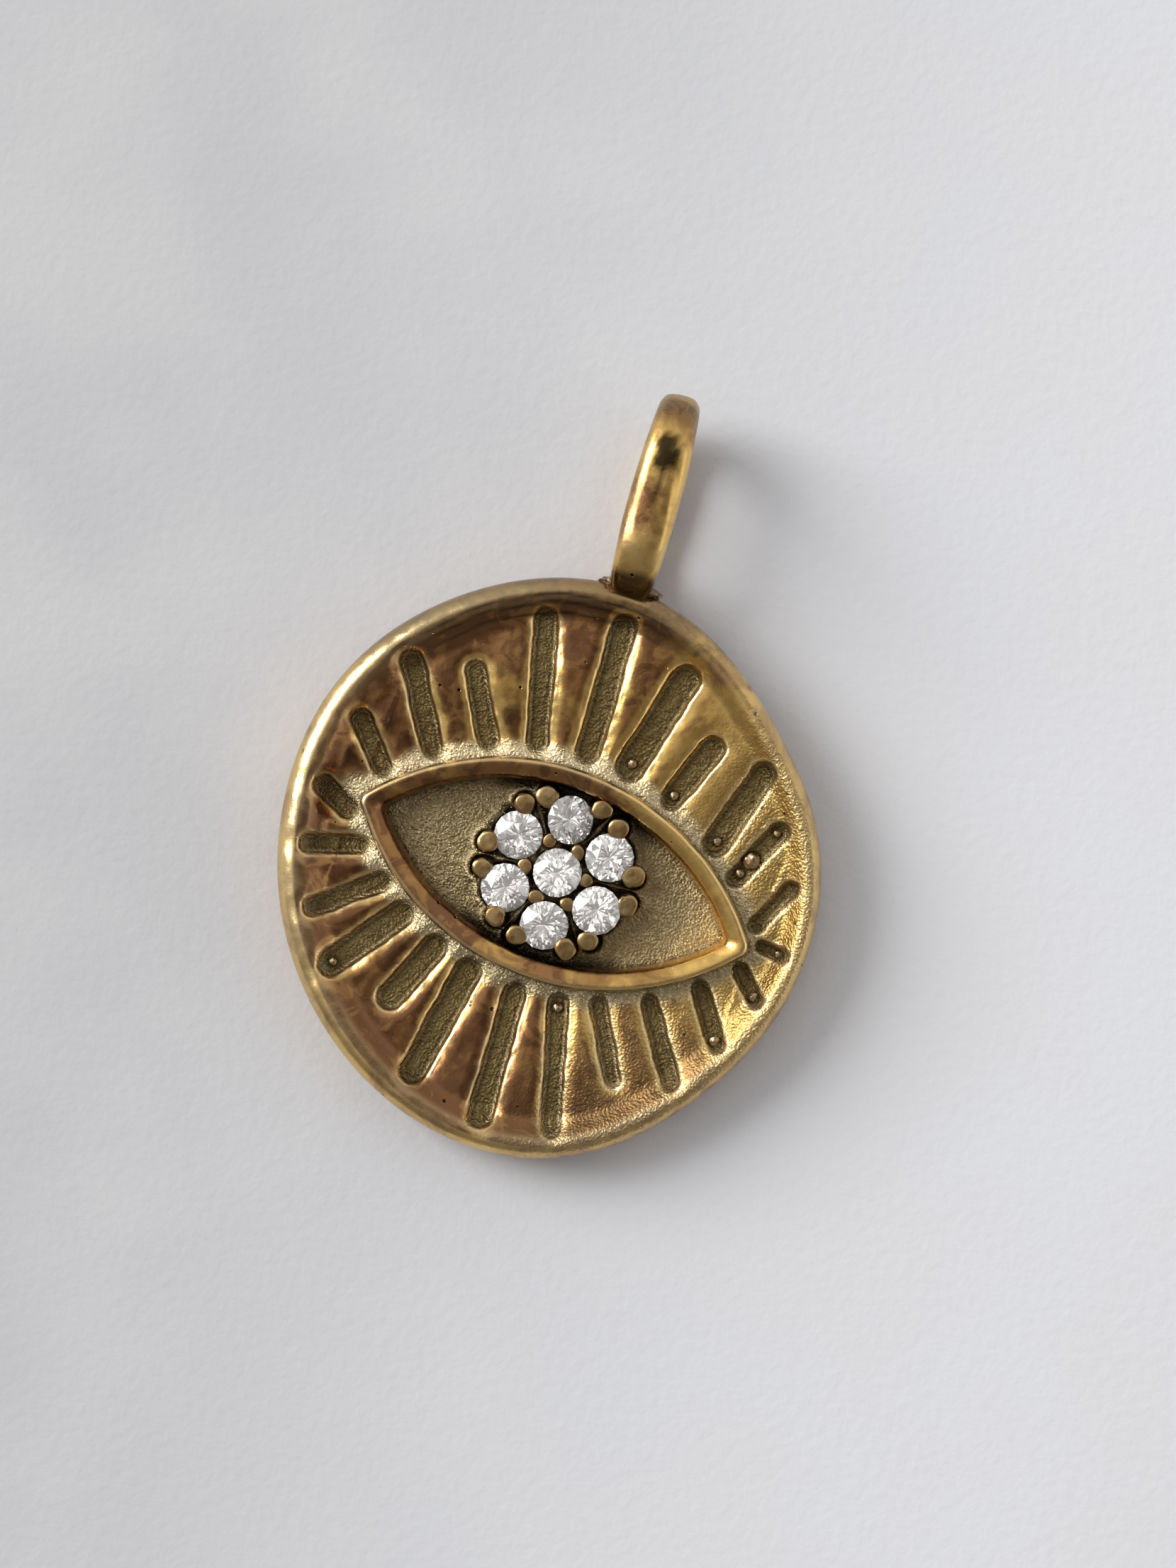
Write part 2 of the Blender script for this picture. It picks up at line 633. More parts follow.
def face_height(x, y):
    """Height of the medallion's front at each place, with its masks for matt, soot, wear and ageing."""
    turn, inset = from_edge(x, y)
    right, up = as_hung(x, y)
    outside = lid_distance(x, y)
    ray, depth = ray_distance(x, y)

    # the dished face and the rim
    face = FACE_AT_EYE + (FACE_AT_RIM - FACE_AT_EYE) * smoothstep(0.1, 2.8, outside)
    crest_inset, fall = rim_sizes(turn)
    t = np.clip((inset - crest_inset) / fall, 0, 1)
    slope = 1 - t * t * t * (t * (6 * t - 15) + 10)
    crest = DISC_TOP - 0.02 + 0.02 * wobble(x, y, 1.5, 12)
    height = face + (crest - face) * slope

    # hand-worked waves on the polished parts
    height += (0.034 * wobble(x, y, 1.4, 5) + 0.010 * wobble(x, y, 0.55, 6)) * (1 - 0.5 * slope)

    # rays with soft shoulders, steep sides and flat grainy floors
    open_face = smoothstep(0.02, 0.16, outside)
    drop = SHOULDER_DROP * (1.2 - 0.8 * smoothstep(1.0, 7.0, right))
    fall_off = np.where(ray > 0, drop * (1 - np.clip(ray / SHOULDER, 0, 1)) ** 2, drop)
    inward = np.clip(-ray / RAY_WALL, 0, 1)
    fall_off = fall_off + (depth - drop) * (1 - (1 - inward) ** 2)
    rough_floor = 0.020 * wobble(x, y, 0.13, 7) * smoothstep(0.1, 0.8, inward)
    height -= (fall_off + rough_floor) * open_face

    # ragged lip on the ray's edge
    lip = ridge(ray, 0.04, 0.05) * open_face
    height += lip * (0.016 + 0.020 * wobble(x, y, 0.22, 9))

    # unpolished band beside the eye frame
    band = (1 - smoothstep(0.28, 0.80 + 0.25 * wobble(x, y, 0.9, 10), outside)) * (1 - slope)
    height += 0.020 * wobble(x, y, 0.14, 11) * band * open_face

    # the pan inside the frame, and the pocket that follows the rosette
    inside = smoothstep(-0.20, -0.36, outside)
    away = rosette_distance(x, y) + 0.02 * wobble(x, y, 0.3, 13)
    pan_lip = ridge(away, 0.10, 0.09)
    upper_left = 0.5 + 0.5 * np.cos(np.arctan2(y - ROSETTE[1], x - ROSETTE[0]) - math.radians(160))
    pan = PAN_HEIGHT + 0.02 * wobble(x, y, 0.9, 14) + 0.014 * wobble(x, y, 0.15, 15) * (0.4 + upper_left)
    pan += (0.03 + 0.10 * upper_left) * pan_lip
    pan = pan + (POCKET_FLOOR - pan) * smoothstep(0.03, -0.10, away)
    height = height + (pan - height) * inside

    # matt: the rays' floors, the band, the pan, and a satin finish towards the lower right
    floor = smoothstep(0.20, 0.60, inward) * open_face
    satin = SATIN_FACE * smoothstep(2.0, 6.0, right - 0.6 * up)
    matt = np.maximum(np.maximum(np.maximum(floor, band), satin), PAN_MATT * inside)

    # soot: the foot of each ray's side, the frame's foot, the pocket, round the beads, and the left of the rim
    beside = smoothstep(1.1, 0.35, away)
    foot_line = smoothstep(-FRAME_WIDTH - 0.10 - 0.35 * beside, -FRAME_WIDTH, outside)
    dark_foot = smoothstep(0.15, 0.40, slope) * smoothstep(0.85, 0.6, slope) * smoothstep(2.0, 7.0, -right)
    sooty = [
        0.45 * ridge(ray, -RAY_WALL - 0.02, 0.04) * open_face,
        0.55 * ridge(outside, 0.0, 0.06),
        inside * foot_line * (0.26 + 0.69 * beside),
        0.95 * inside * smoothstep(0.03, -0.06, away),
        0.28 * dark_foot,
    ]
    for px, py, radius in bead_places():
        sooty.append(0.75 * ridge(np.hypot(x - px, y - py) - radius, 0.02, 0.06))

    # soot: worn tool lines at the top of the rim, and blotches between the rays on the left
    at_top = smoothstep(6.0, 7.8, up) * (0.85 + 0.15 * wobble(x, y, 0.8, 19))
    sooty.append(0.26 * at_top * smoothstep(0.4, 0.7, slope))
    for line in TOOL_LINES:
        sooty.append(0.88 * at_top * ridge(inset, line + 0.07 * wobble(x, y, 1.6, 20), 0.055))
    between = smoothstep(0.12, 0.30, ray) * ridge(outside, 1.25, 0.65) * smoothstep(2.0, -2.5, right)
    sooty.append(0.52 * between * smoothstep(-0.05, 0.45, wobble(x, y, 0.55, 18)))
    soot = np.maximum.reduce(sooty)

    # wear: lips, rim, band and ray sides outside the frame, and the pan's corner and lip inside it
    wear = np.maximum(0.9 * lip * (1 - inside), 0.30 * smoothstep(0.75, 1.0, slope))
    wear = np.maximum(wear, (0.42 + 0.50 * smoothstep(-3.0, 3.0, up - 0.6 * right)) * band * (1 - floor))
    ray_side = smoothstep(0.05, 0.3, inward) * smoothstep(1.0, 0.6, inward) * open_face
    wear = np.maximum(wear, 0.30 * ray_side)
    corner = smoothstep(3.2, 5.2, np.hypot(x - EYE[0], y - EYE[1])) * (x > 0)
    wear = np.where(inside > 0.5, 0.16 + 0.26 * corner, wear)
    wear = np.maximum(wear, 0.8 * inside * upper_left * pan_lip)

    # ageing: browner on the left, at the top and at the bottom; polished back beside the rays and in the pan
    ageing = 0.30 * smoothstep(3.0, 7.0, -up) + 0.22 * smoothstep(5.0, 7.3, up)
    ageing += 0.56 - 0.040 * right + 0.12 * wobble(x, y, 2.5, 17)
    ageing = np.clip(ageing - 0.30 * ridge(ray, 0.10, 0.13), 0, 1) * (1 - 0.6 * inside)
    return height, matt, soot, wear, ageing


# ---- medallion


def make_medallion(material):
    """The front as rings of heights, the rounded side and the flat back, as one closed skin."""
    cos, sin = np.cos(TURN), np.sin(TURN)
    rows, masks = [], []

    def add_row(radius, heights, finish=(0.0, 0.0, 0.0, SIDE_AGEING)):
        rows.append(np.stack([radius * cos, radius * sin, heights + 0 * radius], 1))
        masks.append(np.stack([mask + 0 * radius for mask in finish]))

    crest_inset, _ = rim_sizes(TURN)
    crest_radius = EDGE - crest_inset
    radii = [np.full(COLUMNS, r) for r in np.linspace(0.3, POCKET_RIM, 7)]
    for share in np.linspace(0, 1, FACE_RINGS)[1:]:
        radii.append(POCKET_RIM + share * (crest_radius - POCKET_RIM))
    for radius in radii:
        height, *finish = face_height(radius * cos, radius * sin)
        add_row(radius, height, finish)

    crest = rows[-1][:, 2]
    low = DISC_TOP - RIM_SHOULDER
    right, up = as_hung(EDGE * cos, EDGE * sin)
    top = smoothstep(5.5, 8.0, up)
    satin = SATIN_RIM * smoothstep(2.0, 6.0, right - 0.6 * up)
    polish = 0.35 + 0.50 * smoothstep(0.2, 0.9, np.cos(TURN - math.radians(POLISHED_SIDE)))
    for turn in np.linspace(0, math.pi / 2, 13)[1:]:
        finish = (satin * math.cos(turn), 0.30 * top, polish * math.cos(turn), SIDE_AGEING + 0.2 * top)
        add_row(EDGE - crest_inset * (1 - math.sin(turn)), low + (crest - low) * math.cos(turn), finish)
    for z in np.linspace(low, BACK_ROUND, 5)[1:]:
        add_row(EDGE, z)
    for turn in np.linspace(0, math.pi / 2, 8)[1:]:
        add_row(EDGE - BACK_ROUND * (1 - math.cos(turn)), BACK_ROUND * (1 - math.sin(turn)))
    for radius in BACK_RINGS:
        add_row(np.full(COLUMNS, radius), 0.0)
    points, faces = skin(rows, loop=False)
    piece = make_piece("medallion_cast", points, faces, material, ["medallion"])
    paint(piece, *[np.append(mask.ravel(), (mask[0, 0], mask[-1, 0])) for mask in np.stack(masks, 1)])


# ---- eye frame


# The frame's section, from its outer foot over the crest and down the bevel to its inner foot: inset, and height
# above the back face.
FRAME_SECTION = [
    (0.02, 1.00), (0.00, 1.35), (0.00, 1.72), (0.01, 1.90), (0.03, 2.03), (0.07, 2.11), (0.12, 2.145), (0.18, 2.15),
    (0.25, 2.135), (0.33, 2.105), (0.41, 2.065), (0.49, 2.015), (0.55, 1.96), (0.60, 1.88), (0.635, 1.76),
    (0.66, 1.58), (0.68, 1.36), (0.70, 1.15), (0.71, 1.00), (0.35, 1.00),
]


def make_eye_frame(material):
    """A ridge swept round the almond, with its crest a little uneven."""
    outlines = [almond(inset) for inset, _ in FRAME_SECTION]
    rows = []
    for j in range(len(outlines[0])):
        row = []
        for (_, z), outline in zip(FRAME_SECTION, outlines):
            x, y = outline[j]
            sway = 0.022 * float(wobble(x, y, 1.7, 21)) + 0.007 * float(wobble(x, y, 0.5, 22))
            dip = 0.03 * (1 - float(wobble(x, y, 1.3, 23))) if z > 1.6 else 0.0
            row.append((x + sway, y + sway, z - dip))
        rows.append(row)
    points, faces = skin(rows, loop=True)
    piece = make_piece("eye_frame_ridge", points, faces, material, ["eye_frame"])
    x, y, z = points.T
    inset = np.tile([inset for inset, _ in FRAME_SECTION], len(rows))
    near = smoothstep(3.6, 2.6, np.hypot(x - ROSETTE[0], y - ROSETTE[1]))
    soot = smoothstep(1.95, 1.70, z) * (inset > 0.5) * (0.04 + 0.91 * near)
    soot = np.maximum(soot, 0.6 * smoothstep(1.60, 1.45, z) * (inset < 0.1))
    wear = 0.95 * ridge(inset, 0.09, 0.06) * (z > 2.0)
    ageing = 0.50 - 0.035 * as_hung(x, y)[0] + 0.15 * wobble(x, y, 2.0, 24)
    paint(piece, 0 * x, soot, wear, ageing)


# ---- stones

CROWN = 0.22             # girdle to table
GIRDLE_HALF = 0.02
PAVILION = 39.4          # degrees
TABLE, STARS, LOWER = 0.54, 0.78, 0.30    # reach of the table, the star facets and the lower halves, as shares
LOOSE_STONE = {"stone_ring_2": (-6, 22)}    # one stone has settled askew: its lean in degrees about X and about Y


def make_stone(node, number, material):
    """A round brilliant, cut by hand: table, stars, kites and halves over the girdle, mains and halves under it."""
    low, high = box_mm(node)
    x, y = (low[0] + high[0]) / 2, (low[1] + high[1]) / 2
    r = (high[0] - low[0]) / 2
    chance = np.random.RandomState(50 + number)
    girdle = high[2] - CROWN - GIRDLE_HALF
    point = girdle - GIRDLE_HALF - r * math.tan(math.radians(PAVILION))
    table, star, lower = TABLE * r, STARS * r, LOWER * r
    lean = math.cos(math.radians(22.5))
    star_z = high[2] - (star * lean - table) * CROWN / (r - table)
    lower_z = point + lower * lean * (girdle - GIRDLE_HALF - point) / r
    spin = 360 * chance.rand()

    def ring(radius, z, count, offset, slack=0.0):
        out = []
        for k in range(count):
            px, py = polar(radius * (1 + slack * chance.uniform(-1, 1)), offset + spin + 360 * k / count, (x, y))
            out.append((px, py, z + 0.3 * slack * chance.uniform(-1, 1)))
        return out

    points = ring(table, high[2], 8, 0) + ring(star, star_z, 8, 22.5, 0.03)
    points += ring(r, girdle + GIRDLE_HALF, 16, 0) + ring(r, girdle - GIRDLE_HALF, 16, 0)
    points += ring(lower, lower_z, 8, 22.5, 0.13)
    points.append((x + 0.02 * chance.uniform(-1, 1), y + 0.02 * chance.uniform(-1, 1), point))
    top, stars, upper, under, halves, tip = 0, 8, 16, 32, 48, 56
    faces = [tuple(range(8))]
    for i in range(8):
        before, after = (i - 1) % 8, (i + 1) % 8
        g, g1, g2 = 2 * i, 2 * i + 1, (2 * i + 2) % 16
        faces += [
            (top + i, stars + i, top + after), (top + i, stars + before, upper + g), (top + i, upper + g, stars + i),
            (stars + i, upper + g, upper + g1), (stars + i, upper + g1, upper + g2),
            (halves + i, under + g1, under + g), (halves + i, under + g2, under + g1),
            (tip, halves + i, under + g), (tip, under + g, halves + before),
        ]
    faces += [(upper + k, under + k, under + (k + 1) % 16, upper + (k + 1) % 16) for k in range(16)]
    lean_x, lean_y = LOOSE_STONE.get(node, (3 * chance.uniform(-1, 1), 3 * chance.uniform(-1, 1)))
    tilt = Matrix.Rotation(math.radians(lean_x), 3, "X") @ Matrix.Rotation(math.radians(lean_y), 3, "Y")
    centre = Vector((x, y, girdle))
    points = [tuple(tilt @ (Vector(p) - centre) + centre) for p in points]
    piece = make_piece("brilliant_%s" % node, points, faces, material, [node], smooth=False)
    tones = np.clip(0.3 + 1.2 * chance.rand(len(faces)), 0, 1)
    tones[0] = 1.0
    layer = piece.data.attributes.new("facet", "FLOAT", "FACE")
    layer.data.foreach_set("value", tones)


# ---- bail and solder

BAIL_FOOT = 8.30         # where the bail's lower bend ends, inside the medallion's edge
BAIL_WIRE = 0.55         # half the thickness of its wire
BAIL_SQUARE = (0.72, 0.80)         # powers that square up the wire's section, sideways and outwards
BAIL_LUMPS = 0.022
SOLDER_FILL = (0.96, 0.80)         # shares of the CAD drop's width and depth
SOLDER_REACH = 0.30      # how far the drop reaches past the edge


def make_bail(material):
    """An oval ring of flattened wire, fuller in the middle of its strands."""
    middle_x = (BAIL_LOW[0] + BAIL_HIGH[0]) / 2
    middle_z = (BAIL_LOW[2] + BAIL_HIGH[2]) / 2
    half_depth = (BAIL_HIGH[2] - BAIL_LOW[2]) / 2
    wide = (BAIL_HIGH[0] - BAIL_LOW[0]) / 2
    radius = half_depth - BAIL_WIRE
    foot = BAIL_FOOT + half_depth
    head = BAIL_HIGH[1] - half_depth

    def bend(y, way):
        turns = [(way * math.sin(a), way * math.cos(a)) for a in np.linspace(0, math.pi, 48)]
        return [(y + radius * out_y, middle_z + radius * out_z, out_y, out_z) for out_y, out_z in turns]

    def strand(start, end, way):
        return [(start + (end - start) * s, middle_z + way * radius, 0.0, way) for s in np.linspace(0, 1, 18)[1:-1]]

    rows = []
    for y, z, out_y, out_z in bend(head, 1) + strand(head, foot, -1) + bend(foot, -1) + strand(foot, head, 1):
        share = (y - foot) / (head - foot)
        width = wide * (1.04 - 0.12 * abs(share - 0.45) ** 2)
        row = []
        for a in np.linspace(0, 2 * math.pi, 56, endpoint=False):
            side, out = math.cos(a), math.sin(a)
            across = width * math.copysign(abs(side) ** BAIL_SQUARE[0], side)
            lift = BAIL_WIRE * math.copysign(abs(out) ** BAIL_SQUARE[1], out)
            bump = 1 + BAIL_LUMPS * float(wobble(y + 3 * side, z + 3 * out, 1.0, 31))
            row.append((middle_x + across * bump, y + out_y * lift * bump, z + out_z * lift * bump))
        rows.append(row)
    points, faces = skin(rows, loop=True)
    piece = make_piece("bail_ring", points, faces, material, ["bail"])

    # a dark stain near the top of the front strand with a trail down from it, and soot in the fold at the foot
    x, y, z = points.T
    front = smoothstep(1.6, 2.6, z)
    ragged = 0.20 * wobble(1.6 * x, y, 0.30, 33) + 0.12 * wobble(2.5 * x, y, 0.12, 36)
    stain = ridge(x, -0.02, 0.42) * ridge(y, 12.90, 0.72) + ragged
    trail = ridge(x + 0.04, 0.05 * (y - 12), 0.10) * smoothstep(10.9, 11.4, y) * smoothstep(12.8, 12.3, y)
    soot = np.maximum(0.93 * smoothstep(0.30, 0.66, stain), 0.7 * smoothstep(0.35, 0.9, trail + ragged)) * front
    soot = np.maximum(soot, 0.88 * smoothstep(9.42 + 0.15 * wobble(x, y, 0.4, 34), 9.05, y))
    matt = 0.45 * smoothstep(13.6, 14.4, y)
    ageing = 0.46 + 0.06 * ridge(y, 10.9, 1.1) + 0.1 * wobble(x, y, 0.8, 35)
    wear = np.maximum(0.5 * np.abs(x) ** 3, 0.30 * ridge(y, 9.9, 0.55) * front)
    paint(piece, matt, soot, wear, ageing)


def make_solder_bead(material):
    """A lumpy drop of solder round the bail's foot."""
    middle = (SOLDER_LOW + SOLDER_HIGH) / 2
    half = (SOLDER_HIGH - SOLDER_LOW) / 2
    edge_y = float(edge_at(math.pi / 2))
    rows = []
    for a in np.linspace(0, math.pi, 42)[1:-1]:
        row = []
        for b in np.linspace(0, 2 * math.pi, 72, endpoint=False):
            ux, uy, uz = math.sin(a) * math.cos(b), math.sin(a) * math.sin(b), math.cos(a)
            lump = 1 + 0.06 * float(wobble(3 * ux + uz, 3 * uy - uz, 0.6, 41))
            lump += 0.03 * float(wobble(3 * ux - uz, 3 * uy + 2 * uz, 0.22, 42))
            row.append((middle[0] + SOLDER_FILL[0] * half[0] * ux * lump, edge_y + SOLDER_REACH * uy * lump,
                        middle[2] + SOLDER_FILL[1] * half[2] * uz))
        rows.append(row)
    points, faces = skin(rows, loop=False)
    make_piece("solder_drop", points, faces, material, ["bail_solder"])


# ---- claws and casting beads, by geometry nodes


FULL_TURN = 6.28         # radians
GRIT_TRIES = 13000       # places tried for a grain


def finish_tree(tree, out, material, placing):
    """Ends a geometry tree: copies at the points, made real, in their material."""
    placed = add(tree, "GeometryNodeInstanceOnPoints", placing)
    solid = result(tree, "GeometryNodeRealizeInstances", {"Geometry": placed.outputs[0]})
    done = result(tree, "GeometryNodeSetMaterial", {"Geometry": solid, "Material": material})
    tree.links.new(done, out[0])


def make_claw_tree(material):
    """Claws in pairs round the gaps of a ring of six stones. A spread of 0 puts one claw at each gap."""
    tree, given, out = new_group("claw_ring", "Geometry", [
        ("Geometry", "Geometry", None), ("Claws", "Int", 12), ("Per Gap", "Int", 2), ("First Gap", "Float", 0.0),
        ("Spread", "Float", 0.1), ("Pitch", "Float", 0.002), ("Wire Radius", "Float", 0.0003),
        ("Foot Height", "Float", 0.001), ("Tip Height", "Float", 0.002), ("Dome", "Float", 0.4),
        ("Centre", "Vector", (0, 0, 0)), ("Seed", "Int", 1),
    ], [("Geometry", "Geometry")])
    index = result(tree, "GeometryNodeInputIndex")
    gap = math_node(tree, "FLOOR", math_node(tree, "DIVIDE", index, given["Per Gap"]))
    side = math_node(tree, "MODULO", index, given["Per Gap"])
    side = math_node(tree, "SUBTRACT", times(tree, side, 2.0), 1.0)
    turn = plus(tree, given["First Gap"], times(tree, gap, math.pi / 3))
    turn = plus(tree, turn, times(tree, side, given["Spread"]))
    x = times(tree, given["Pitch"], math_node(tree, "COSINE", turn))
    y = times(tree, given["Pitch"], math_node(tree, "SINE", turn))
    place = result(tree, "CombineXYZ", {0: x, 1: y})
    place = result(tree, "VectorMath", {0: place, 1: given["Centre"]}, operation="ADD")
    points = result(tree, "GeometryNodePoints", {"Count": given["Claws"], "Position": place})

    # one claw: a ball pulled into an upright, slightly uneven wire with a flattened tip
    ball = add(tree, "GeometryNodeMeshUVSphere", {"Segments": 28, "Rings": 18, "Radius": 1.0}).outputs["Mesh"]
    spot = add(tree, "SeparateXYZ", {0: result(tree, "GeometryNodeInputPosition")}).outputs
    flat = result(tree, "CombineXYZ", {0: spot[0], 1: spot[1]})
    away = add(tree, "VectorMath", {0: flat}, operation="LENGTH").outputs["Value"]
    heading = result(tree, "VectorMath", {0: flat}, operation="NORMALIZE")
    above = math_node(tree, "GREATER_THAN", spot[2], 0.0)
    power = plus(tree, 0.12, times(tree, above, 0.16))
    lumps = add(tree, "TexNoise", {"Scale": 0.9, "Detail": 1.0}).outputs["Fac"]
    wire = times(tree, plus(tree, 0.80, times(tree, lumps, 0.40)), given["Wire Radius"])
    reach = times(tree, math_node(tree, "POWER", away, power), wire)
    sideways = result(tree, "VectorMath", {0: heading, "Scale": reach}, operation="SCALE")
    dome = times(tree, given["Wire Radius"], given["Dome"])
    waist = math_node(tree, "SUBTRACT", given["Tip Height"], dome)
    tip = plus(tree, waist, times(tree, spot[2], dome))
    tall = math_node(tree, "SUBTRACT", waist, given["Foot Height"])
    post = plus(tree, waist, times(tree, spot[2], tall))
    z = result(tree, "GeometryNodeSwitch", {0: above, 1: post, 2: tip}, input_type="FLOAT")
    lifted = result(tree, "CombineXYZ", {2: z})
    shape = result(tree, "VectorMath", {0: sideways, 1: lifted}, operation="ADD")
    claw = result(tree, "GeometryNodeSetPosition", {"Geometry": ball, "Position": shape})
    claw = result(tree, "GeometryNodeSetShadeSmooth", {"Geometry": claw})

    def between(low, high):
        span = {0: low, 1: high, "Seed": given["Seed"]}
        return result(tree, "FunctionNodeRandomValue", span, data_type="FLOAT_VECTOR")

    scale = between((0.84, 0.84, 0.970), (1.07, 1.07, 1.005))
    lean = between((-0.05, -0.05, 0.0), (0.05, 0.05, FULL_TURN))
    finish_tree(tree, out, material, {"Points": points, "Instance": claw, "Scale": scale, "Rotation": lean})
    return tree


def make_bead_tree(material):
    """Beads and grains left by the casting: a lumpy flattened ball at each point, as large as its size says."""
    tree, given, out = new_group("casting_beads", "Geometry", [
        ("Geometry", "Geometry", None), ("Flatness", "Float", 0.6), ("Fineness", "Int", 4), ("Lumps", "Float", 1.6),
        ("Seed", "Int", 4),
    ], [("Geometry", "Geometry")])
    ball = add(tree, "GeometryNodeMeshIcoSphere", {"Radius": 1.0, "Subdivisions": given["Fineness"]}).outputs["Mesh"]
    lumps = add(tree, "TexNoise", {"Scale": given["Lumps"], "Detail": 1.0}).outputs["Fac"]
    swell = plus(tree, 0.72, times(tree, lumps, 0.5))
    spot = result(tree, "GeometryNodeInputPosition")
    shape = result(tree, "VectorMath", {0: spot, "Scale": swell}, operation="SCALE")
    ball = result(tree, "GeometryNodeSetPosition", {"Geometry": ball, "Position": shape})
    ball = result(tree, "GeometryNodeSetShadeSmooth", {"Geometry": ball})
    size = result(tree, "GeometryNodeInputNamedAttribute", {"Name": "size"}, data_type="FLOAT")
    scale = result(tree, "CombineXYZ", {0: size, 1: size, 2: times(tree, size, given["Flatness"])})
    turn = add(tree, "FunctionNodeRandomValue", {3: FULL_TURN, "Seed": given["Seed"]}, data_type="FLOAT").outputs[1]
    spin = result(tree, "CombineXYZ", {2: turn})
    finish_tree(tree, out, material, {"Points": given["Geometry"], "Instance": ball, "Scale": scale,
                                      "Rotation": spin})
    return tree


def grow(name, tree, inputs, base, replaced):
    """Runs a geometry tree on a base mesh and keeps its result as a plain piece."""
    holder = bpy.data.objects.new(name + "_maker", base)
    bpy.context.scene.collection.objects.link(holder)
    modifier = holder.modifiers.new("maker", "NODES")
    modifier.node_group = tree
    for socket in tree.interface.items_tree:
        if socket.in_out == "INPUT" and socket.name in inputs:
            modifier[socket.identifier] = inputs[socket.name]
    depsgraph = bpy.context.evaluated_depsgraph_get()
    mesh = bpy.data.meshes.new_from_object(holder.evaluated_get(depsgraph))
    mesh.name = name
    holder.modifiers.clear()
    bpy.data.objects.remove(holder)
    hand_over(name, mesh, replaced)


def make_claws(material):
    """Both rings of claws: how many, how many at each gap, spread, pitch, wire radius, dome, height and seed."""
    tree = make_claw_tree(material)
    rings = {
        "outer": (12, 2, math.radians(OUTER_CLAW_SPREAD), OUTER_CLAW_PITCH, OUTER_CLAW, 0.26, OUTER_TIP, 3),
        "inner": (6, 1, 0.0, STONE_PITCH / math.sqrt(3), INNER_CLAW, 0.6, INNER_TIP, 8),
    }
    for ring, (claws, per_gap, spread, pitch, wire, dome, tip, seed) in rings.items():
        inputs = {"Claws": claws, "Per Gap": per_gap, "First Gap": math.radians(FIRST_STONE + 30), "Spread": spread,
                  "Pitch": pitch * MM, "Wire Radius": wire * MM, "Foot Height": PLATE_HIGH[2] * MM,
                  "Tip Height": tip * MM, "Dome": dome, "Centre": (ROSETTE[0] * MM, ROSETTE[1] * MM, 0.0),
                  "Seed": seed}
        base = bpy.data.meshes.new("claw_base")
        grow("claws_" + ring, tree, inputs, base, [ring + "_claws"])


def grow_on_face(name, tree, inputs, x, y, radius, sunk):
    """Grows the bead tree on the medallion's front, at the given places, sunk by a share of each radius."""
    height = face_height(x, y)[0] - (sunk - 0.5) * radius
    base = bpy.data.meshes.new(name + "_places")
    base.from_pydata((np.stack([x, y, height], 1) * MM).tolist(), [], [])
    layer = base.attributes.new("size", "FLOAT", "POINT")
    layer.data.foreach_set("value", radius * MM)
    grow(name, tree, inputs, base, [])


def make_casting_beads(material):
    x, y, radius = np.array(bead_places()).T
    grow_on_face("casting_beads", make_bead_tree(material), {"Flatness": 0.75}, x, y, radius, 0.25)


def make_casting_grit(material):
    """Grains standing on the sandblasted floor of the eye and beside the frame."""
    chance = np.random.RandomState(71)
    x, y = chance.uniform(-7.4, 7.4, (2, GRIT_TRIES))
    _, matt, soot, wear, _ = face_height(x, y)
    outside = lid_distance(x, y)
    kept = (matt > 0.6) & (soot < 0.25) & (from_edge(x, y)[1] > 1.5) & (np.abs(outside + 0.36) > 0.42)
    kept &= (wear > 0.3) | ((outside < 0) & (x < -0.8))
    x, y = x[kept], y[kept]
    radius = 0.020 + 0.028 * chance.rand(len(x)) ** 2
    inputs = {"Flatness": 0.8, "Fineness": 1, "Lumps": 9.0, "Seed": 12}
    grow_on_face("casting_grit", make_bead_tree(material), inputs, x, y, radius, 0.45)


# ---- stage, light and camera

FLOOR_HALF = 450.0       # half width of the table
BAIL_REST = 12.8         # where the bail's lower strand meets the table
DISC_REST = -8.55        # where the medallion's back edge meets the table
VIEW_CENTRE = (0.36, 2.71, 1.5)
VIEW_HEIGHT = 48.0       # what the view's height takes in at the charm
VIEW_DISTANCE = 92.0

# Area lights: name, direction in the view (right, up, out), distance, size, power, colour. The last two are seen only
# through the stones.
SOFTBOXES = [
    ("window", (-0.80, 0.46, 0.60), 330, (170, 220), 1.0, (1.0, 0.985, 0.95)),
    ("fill", (0.95, -0.25, 0.45), 420, (300, 240), 0.10, (0.94, 0.97, 1.0)),
    ("stone_card_left", (-0.36, 0.06, 1.0), 300, (105, 300), 0.13, (1.0, 0.97, 0.94), True),
    ("stone_card_right", (0.34, 0.06, 1.0), 300, (105, 300), 0.10, (1.0, 0.97, 0.94), True),
]


def floor_height(y):
    """The charm lies on its bottom edge and on its bail, so the table slopes a little in the charm's frame."""
    return (y - DISC_REST) / (BAIL_REST - DISC_REST) * BAIL_LOW[2]


def make_table_top(material):
    h = FLOOR_HALF
    points = [(x, y, floor_height(y)) for x, y in ((-h, -h), (h, -h), (h, h), (-h, h))]
    mesh = bpy.data.meshes.new("table_top")
    mesh.from_pydata([tuple(c * MM for c in p) for p in points], [], [(0, 1, 2, 3)])
    mesh.materials.append(material)
    table = bpy.data.objects.new("table_top", mesh)
    bpy.context.scene.collection.objects.link(table)


def view_direction(right, up, out):
    """A direction in the charm's frame, from one along the view's right, its top and towards the viewer."""
    t = math.radians(LEAN)
    return Vector((right * math.cos(t) - up * math.sin(t), right * math.sin(t) + up * math.cos(t), out)).normalized()


